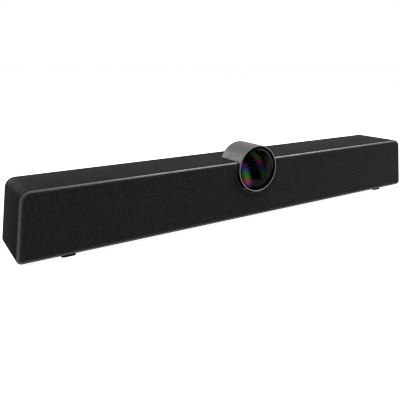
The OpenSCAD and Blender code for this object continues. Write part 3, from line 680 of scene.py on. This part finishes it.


# Cover glass: clear, with painted reflections: the lamps' coloured reflections in its coating as two soft bands
# that run down its left side and its middle, a painted haze of reflection and a painted bright edge glint. They
# are metallic, so they also reflect the studio.
# Haze has where it starts, where it is full and its strength, and the bright edge its radius, width and strength
glassLook = {
    "ior": 1.03,
    "clear": (0.12, 0.125, 0.13),
    "clearFleck": (0.108, 0.1125, 0.117),
    "colours": ((0.0, (0.62, 0.05, 0.34)), (0.15, (0.52, 0.17, 0.16)), (0.3, (0.22, 0.3, 0.03)),
                (0.46, (0.04, 0.38, 0.06)), (0.6, (0.05, 0.24, 0.27)), (0.77, (0.09, 0.07, 0.5)),
                (1.0, (0.62, 0.05, 0.34))),
    "firstColour": -19.7,
    "period": 27.0,
    "slope": 0.098,
    # a band's middle line over the height (start, tilt, bend), half its width, its top and the fade below it,
    # where it has ended at the bottom and where it is full, and its strength
    "bands": ((-20.8, -0.35, -0.0039, 9.5, 13.0, 20.0, -26.5, -19.0, 0.24),
              (7.0, -0.42, -0.0125, 9.5, 29.0, 12.0, -31.0, -2.0, 0.055)),
    "cover": 4.0,
    "bandFull": 0.05,
    "coverFull": 0.004,
    "rough": (0.1, 0.02, 0.25),
    "hazeReflection": (8.0, 20.0, 0.1),
    "lowHazeReflection": (-12.0, -18.0, 0.07),
    "hazeReflectionRim": (25.5, 22.0),
    "edge": (24.6, 2.2, 0.25),
    "edgeTurn": (18.0, 30.0),
    "grain": 8.0,
    "bump": 0.002,
}


def coverGlassWithPaintedReflections():
    g = glassLook
    mat, tree, shader = newFinish("cover_glass_painted_reflections")
    split = tree.nodes.new("ShaderNodeSeparateXYZ")
    point = objectPoint(tree, stretch=[1 / mm] * 3, shift=(0, 0, -barrelZ))
    tree.links.new(point, split.inputs[0])
    across, up = split.outputs["X"], split.outputs["Z"]
    level = maths(tree, "MULTIPLY_ADD", across, g["slope"], up)

    turns = maths(tree, "MULTIPLY_ADD", level, 1 / g["period"], -g["firstColour"] / g["period"])
    phase = maths(tree, "FRACT", turns)
    hue = tree.nodes.new("ShaderNodeValToRGB")
    stops = hue.color_ramp.elements
    for place, colour in g["colours"][1:-1]:
        stops.new(place).color = (*colour, 1)
    stops[0].color = (*g["colours"][0][1], 1)
    stops[-1].color = (*g["colours"][-1][1], 1)
    tree.links.new(phase, hue.inputs["Fac"])

    total = None
    # painted reflection: the coloured bands where the lamps' reflections in the coating lie
    for start, tilt, bend, half, top, fade, last, full, share in g["bands"]:
        middle = maths(tree, "MULTIPLY_ADD", maths(tree, "MULTIPLY_ADD", up, bend, tilt), up, start)
        away = maths(tree, "ABSOLUTE", maths(tree, "SUBTRACT", across, middle))
        band = softStep(tree, away, 0, half, share, 0)
        band = maths(tree, "MULTIPLY", band, softStep(tree, level, top, top - fade))
        band = maths(tree, "MULTIPLY", band, softStep(tree, level, last, full))
        total = band if total is None else maths(tree, "MAXIMUM", total, band)

    # painted reflection: a bright edge glint at the upper right and a haze of reflection to the right and low
    # down
    radius = maths(tree, "SQRT", maths(tree, "MULTIPLY_ADD", across, across, maths(tree, "MULTIPLY", up, up)))
    middle, width, share = g["edge"]
    offEdge = maths(tree, "ABSOLUTE", maths(tree, "SUBTRACT", radius, middle))
    edge = softStep(tree, offEdge, 0, width, share, 0)
    edge = maths(tree, "MULTIPLY", edge, softStep(tree, maths(tree, "ADD", across, up), *g["edgeTurn"]))
    start, end, share = g["hazeReflection"]
    hazeReflection = softStep(tree, across, start, end, 0, share)
    start, end, share = g["lowHazeReflection"]
    hazeReflection = maths(tree, "MAXIMUM", hazeReflection, softStep(tree, level, start, end, 0, share))
    hazeReflection = maths(tree, "MULTIPLY", hazeReflection, softStep(tree, radius, *g["hazeReflectionRim"]))
    mirror = maths(tree, "MAXIMUM", total, maths(tree, "MAXIMUM", hazeReflection, edge))
    # the painted reflections cover more of the glass in a darker colour, which gives the same light with less
    # grain; being metallic, they also reflect the studio
    coated = maths(tree, "MINIMUM", maths(tree, "MULTIPLY", mirror, g["cover"]), 1)
    tree.links.new(coated, shader.inputs["Metallic"])

    fine = noise(tree, point, g["grain"] / mm, 2)
    clear = mixColour(tree, fine, g["clear"], g["clearFleck"])
    shade = mixColour(tree, softStep(tree, total, 0, g["bandFull"]), clear, hue.outputs["Color"])
    darker = softStep(tree, mirror, 0, g["coverFull"], 0, 1 - 1 / g["cover"])
    tree.links.new(mixColour(tree, darker, shade, (0, 0, 0)), shader.inputs["Base Color"])
    full, smooth, rough = g["rough"]
    tree.links.new(ramp(tree, mirror, 0, full, smooth, rough), shader.inputs["Roughness"])
    shader.inputs["Transmission Weight"].default_value = 1.0
    shader.inputs["IOR"].default_value = g["ior"]
    shader.inputs["Specular IOR Level"].default_value = 0.0
    relief(tree, shader, fine, g["bump"])
    return mat


# A finish's numbers: colour, fleck, roughness, grain in mm and the relief's depth in mm
finishes = {
    "housing_black": finish("housing_moulded_black", (0.02, 0.02, 0.0205), (0.025, 0.025, 0.0255),
                            0.55, 0.5, 0.02, specular=0.004),
    "rear_black": finish("rear_moulded_black", (0.011, 0.011, 0.0114), (0.014, 0.014, 0.0145),
                         0.6, 0.5, 0.02, specular=0.004),
    "inner_black": finish("inner_moulded_black", (0.006, 0.006, 0.006), (0.009, 0.009, 0.009),
                          0.6, 0.6, 0.02, specular=0.08),
    "grille_black": finish("grille_painted_steel", (0.066, 0.066, 0.067), (0.082, 0.082, 0.083),
                           0.55, 0.3, 0.01, specular=0.03),
    "dust_cloth": clothFinish("dust_cloth_weave", (0.006, 0.006, 0.006), (0.002, 0.002, 0.002), 0.25, 0.08),
    "barrel_grey": finish("barrel_satin_grey_and_painted_shade", (0.112, 0.105, 0.106), (0.13, 0.123, 0.124),
                          0.5, 0.25, 0.006, metallic=0.25, specular=0.15),
    "ring_metal": finish("ring_satin_metal", (0.16, 0.158, 0.158), (0.18, 0.178, 0.178),
                         0.35, 0.3, 0.003, metallic=1.0),
    "window_glass": coverGlassWithPaintedReflections(),
    "lens_black": finish("lens_anodised_black", (0.004, 0.004, 0.004), (0.007, 0.007, 0.007),
                         0.5, 0.4, 0.006, specular=0.3),
    "lens_glass": finish("lens_coated_glass", (0.01, 0.02, 0.06), (0.03, 0.01, 0.06),
                         0.05, 6.0, 0.002, cloud=9.0, roughSpread=0.02, coat=1.0),
    "circuit_board": boardFinish("circuit_board_green"),
    "chip": finish("chip_resin", (0.012, 0.012, 0.013), (0.02, 0.02, 0.021), 0.55, 0.2, 0.006),
    "cast_metal": finish("cast_zinc", (0.33, 0.33, 0.34), (0.4, 0.4, 0.41),
                         0.5, 0.8, 0.03, metallic=1.0),
    "ribbon": bandFinish("ribbon_film", (0.45, 0.22, 0.06), (0.3, 0.13, 0.03), 0.4, 0.5, "X", 0.01),
    "sink_metal": finish("sink_anodised", (0.3, 0.31, 0.33), (0.36, 0.37, 0.39),
                         0.4, 0.3, 0.006, metallic=1.0, stretch=(1, 0.1, 1)),
    "tinned_steel": finish("tinned_steel", (0.55, 0.55, 0.56), (0.62, 0.62, 0.63),
                           0.3, 0.4, 0.004, metallic=1.0),
    "button_black": finish("button_moulded_black", (0.02, 0.02, 0.02), (0.026, 0.026, 0.026),
                           0.45, 0.3, 0.01, specular=0.4),
    "foot_rubber": finish("foot_rubber", (0.012, 0.012, 0.012), (0.018, 0.018, 0.018),
                          0.8, 0.4, 0.04, specular=0.2),
    "screw_steel": finish("screw_black_zinc", (0.12, 0.12, 0.125), (0.16, 0.16, 0.165),
                          0.35, 0.2, 0.006, metallic=1.0),
    "insert_brass": bandFinish("insert_brass", (0.6, 0.42, 0.16), (0.45, 0.3, 0.1), 0.35, 0.7, "Y", 0.05,
                               metallic=1.0),
    "basket_steel": finish("basket_painted_steel", (0.018, 0.018, 0.019), (0.024, 0.024, 0.025),
                           0.45, 0.4, 0.01),
    "magnet_steel": finish("magnet_ferrite", (0.06, 0.06, 0.065), (0.09, 0.09, 0.095),
                           0.5, 0.5, 0.02, metallic=0.6),
    "coil_copper": bandFinish("coil_copper_wire", (0.55, 0.2, 0.08), (0.2, 0.06, 0.02), 0.35, 0.4, "Y", 0.05,
                              metallic=1.0),
    "cone_paper": finish("cone_pressed_paper", (0.02, 0.021, 0.022), (0.035, 0.035, 0.036),
                         0.8, 0.5, 0.05, specular=0.2),
    "surround_rubber": finish("surround_rubber", (0.01, 0.01, 0.01), (0.014, 0.014, 0.014), 0.6, 0.5, 0.01),
    "spider_cloth": finish("spider_resined_cloth", (0.42, 0.28, 0.1), (0.5, 0.34, 0.13), 0.8, 0.3, 0.04),
    "lead_sheath": finish("lead_sheath", (0.25, 0.02, 0.015), (0.3, 0.03, 0.02), 0.45, 0.5, 0.01),
}
# Painted shade on the barrel and on the ring's side: their grey darkens to black downwards over the fade, below
# the body's top edge
barrelTroughShade = {"ends": 74.0, "fade": 22.0, "shadeColour": (0.004, 0.004, 0.004)}


def paintShadeBelowTopEdge(mat, coat):  # painted shade: below the body's top edge, where the barrel sits in the trough's shade, its grey fades down to black and its metallic and specular fade out
    tree = mat.node_tree
    shader = tree.nodes["Principled BSDF"]
    split = tree.nodes.new("ShaderNodeSeparateXYZ")
    tree.links.new(objectPoint(tree, stretch=[1 / mm] * 3), split.inputs[0])
    share = softStep(tree, split.outputs["Z"], coat["ends"] - coat["fade"], coat["ends"])
    coated = shader.inputs["Base Color"].links[0].from_socket
    tree.links.new(mixColour(tree, share, coat["shadeColour"], coated), shader.inputs["Base Color"])
    for name in ("Metallic", "Specular IOR Level"):
        socket = shader.inputs[name]
        tree.links.new(ramp(tree, share, 0, 1, 0, socket.default_value), socket)


paintShadeBelowTopEdge(finishes["barrel_grey"], barrelTroughShade)
# Front rim: partly a lighter grey trim, partly painted light. Chamfer and land are two copies of that grey whose
# colours and gloss differ only for the light each facet catches
rimFinishesWithPaintedLight = {
    "chamfer": finish("rim_chamfer_grey_painted_light", (0.04, 0.04, 0.041), (0.05, 0.05, 0.051),
                      0.42, 0.3, 0.006, specular=0.6),
    "land": finish("rim_land_grey_painted_light", (0.05, 0.05, 0.051), (0.06, 0.06, 0.061),
                   0.45, 0.3, 0.006, specular=0.7),
}

for row in frame["record"]["subparts"]:
    mesh = frame["nodes"][row["node"]].data
    mesh.materials.clear()
    mesh.materials.append(finishes[row["material_slot"]])
shell.data.materials[0] = finishes["housing_black"]
for index, name in enumerate(("chamfer", "land"), 1):
    shell.data.materials[index] = rimFinishesWithPaintedLight[name]
columns.data.materials.append(finishes["housing_black"])
# the ring's side takes the barrel's finish, and with it the painted shade below the body's top edge
for name in ("ring_metal", "inner_black", "barrel_grey"):
    ringPiece.data.materials.append(finishes[name])
for piece in spiders:
    piece.data.materials.append(finishes["spider_cloth"])
for strip in grilleParts:
    strip.data.materials.append(finishes["grille_black"])
print("materials assigned")

# Studio: a pale floor, soft lamps and a white surround for what the camera, gloss and glass see
studio = {
    "floorColour": (0.4, 0.4, 0.4),
    "floorFleck": (0.396, 0.396, 0.396),
    "floorCloud": 400.0,
    "floorRough": 0.9,
    "floorSize": 12.0,
    "floorZ": -0.2,
    "floorGlow": 0.93,
    "floorGloss": 0.8,
    "fill": 0.16,
    "surround": 1.0,
    "pixelFilter": 1.15,
    "aim": (0, 0, 0.04),
    "lamps": {
        "key": {"place": (0.85, -0.36, 1.36), "size": 1.0, "power": 27.5},
        "rear": {"place": (-0.5, 1.35, 0.5), "size": 0.7, "power": 18.0},
    },
}


def seenRays(tree, gloss):  # one where a camera or transmission ray looks, and this share of it in a reflection
    path = tree.nodes.new("ShaderNodeLightPath")
    seen = maths(tree, "MAXIMUM", path.outputs["Is Camera Ray"], path.outputs["Is Transmission Ray"])
    return maths(tree, "MAXIMUM", seen, maths(tree, "MULTIPLY", path.outputs["Is Glossy Ray"], gloss))


def buildStudio():
    s = studio
    world = bpy.data.worlds.new("studio")
    bpy.context.scene.world = world
    world.use_nodes = True
    tree = world.node_tree
    back = tree.nodes["Background"]
    back.inputs["Color"].default_value = (1, 1, 1, 1)
    strength = ramp(tree, seenRays(tree, 1.0), 0, 1, s["fill"], s["surround"])
    tree.links.new(strength, back.inputs["Strength"])

    bm = bmesh.new()
    bmesh.ops.create_grid(bm, x_segments=2, y_segments=2, size=s["floorSize"],
                          matrix=Matrix.Translation((0, 0, s["floorZ"] * mm)))
    floor = pieceFrom(bm, "floor", None)
    mat, tree, shader = newFinish("floor_pale")
    point = objectPoint(tree)
    broad = noise(tree, point, s["floorCloud"], 2)
    tree.links.new(mixColour(tree, broad, s["floorColour"], s["floorFleck"]), shader.inputs["Base Color"])
    shader.inputs["Roughness"].default_value = s["floorRough"]
    shader.inputs["Specular IOR Level"].default_value = 0.0
    shader.inputs["Emission Color"].default_value = (1, 1, 1, 1)
    glow = ramp(tree, seenRays(tree, s["floorGloss"]), 0, 1, 0, s["floorGlow"])
    tree.links.new(glow, shader.inputs["Emission Strength"])
    floor.data.materials.append(mat)

    for name, given in s["lamps"].items():
        lamp = bpy.data.lights.new(name, "AREA")
        lamp.size = given["size"]
        lamp.energy = given["power"]
        holder = bpy.data.objects.new(name, lamp)
        bpy.context.scene.collection.objects.link(holder)
        holder.location = given["place"]
        sight = Vector(s["aim"]) - Vector(given["place"])
        holder.rotation_euler = sight.to_track_quat("-Z", "Y").to_euler()


# The photo's own view, solved from its perspective
view = {
    "place": (-0.393167, -0.517233, 0.203128),
    "pitch": 0.101246,
    "yaw": -0.565721,
    "lens": 43.71,
    "sensor": 36,
    "shift": -0.2256,
    "clipStart": 0.01,
}


def buildCamera():
    data = bpy.data.cameras.new("camera")
    data.sensor_width = view["sensor"]
    data.lens = view["lens"]
    data.shift_y = view["shift"]
    data.clip_start = view["clipStart"]
    holder = bpy.data.objects.new("camera", data)
    bpy.context.scene.collection.objects.link(holder)
    holder.location = view["place"]
    holder.rotation_euler = (math.pi / 2 - view["pitch"], 0, view["yaw"])
    bpy.context.scene.camera = holder


buildStudio()
buildCamera()
bpy.context.scene.view_settings.view_transform = "Standard"
bpy.context.scene.cycles.filter_width = studio["pixelFilter"]
print("studio and camera set")
